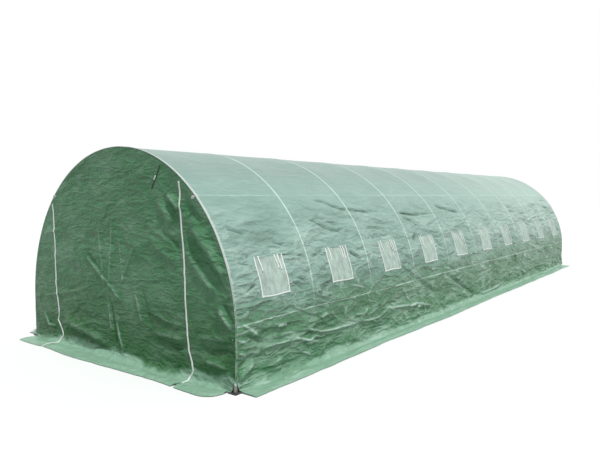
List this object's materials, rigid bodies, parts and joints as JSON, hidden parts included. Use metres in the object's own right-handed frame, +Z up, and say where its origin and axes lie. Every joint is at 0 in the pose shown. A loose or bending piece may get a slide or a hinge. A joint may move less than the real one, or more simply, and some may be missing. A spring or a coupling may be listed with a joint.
{
  "type": "polytunnel greenhouse",
  "caption": "Walk-in polytunnel with a green film cover on steel hoops, net windows along both walls, zipped end doors and a ground skirt.",
  "frame": {"origin": "on the ground, at the middle of the tunnel's plan", "axes": "+Y along the tunnel from front to rear, +X to the right seen from the front, +Z up"},
  "size_m": [3.36, 10.4962, 1.9521],
  "materials": {
    "galvanised_tube": "galvanised",
    "connector_steel": "pressed, galvanised",
    "foot_steel": "dark, dull",
    "green_film": "woven, wrinkled, translucent",
    "window_net": "fine insect net",
    "white_tape": "woven",
    "zip_tape": "woven, with plastic teeth",
    "tie_webbing": "woven",
    "toggle_plastic": "moulded"
  },
  "bodies": {
    "root": {"hoop_01": "galvanised_tube", "hoop_02": "galvanised_tube", "hoop_03": "galvanised_tube", "hoop_04": "galvanised_tube", "hoop_05": "galvanised_tube", "hoop_06": "galvanised_tube", "hoop_07": "galvanised_tube", "hoop_08": "galvanised_tube", "hoop_09": "galvanised_tube", "hoop_10": "galvanised_tube", "hoop_11": "galvanised_tube", "ridge_purlin": "galvanised_tube", "left_shoulder_purlin": "galvanised_tube", "right_shoulder_purlin": "galvanised_tube", "left_side_rail": "galvanised_tube", "right_side_rail": "galvanised_tube", "front_braces": "galvanised_tube", "rear_braces": "galvanised_tube", "ridge_connectors": "connector_steel", "shoulder_connectors": "connector_steel", "rail_connectors": "connector_steel", "foot_plates": "foot_steel", "left_lower_wall": "green_film", "right_lower_wall": "green_film", "left_window_wall": "green_film", "right_window_wall": "green_film", "left_roof": "green_film", "right_roof": "green_film", "left_skirt": "green_film", "right_skirt": "green_film", "front_skirt": "green_film", "rear_skirt": "green_film", "front_left_panel": "green_film", "front_door": "green_film", "front_right_panel": "green_film", "rear_left_panel": "green_film", "rear_door": "green_film", "rear_right_panel": "green_film", "front_zips": "zip_tape", "rear_zips": "zip_tape", "door_ties": "tie_webbing", "tie_toggles": "toggle_plastic", "end_hems": "white_tape", "left_window_nets": "window_net", "right_window_nets": "window_net", "left_window_trims": "white_tape", "right_window_trims": "white_tape"}
  },
  "joints": []
}
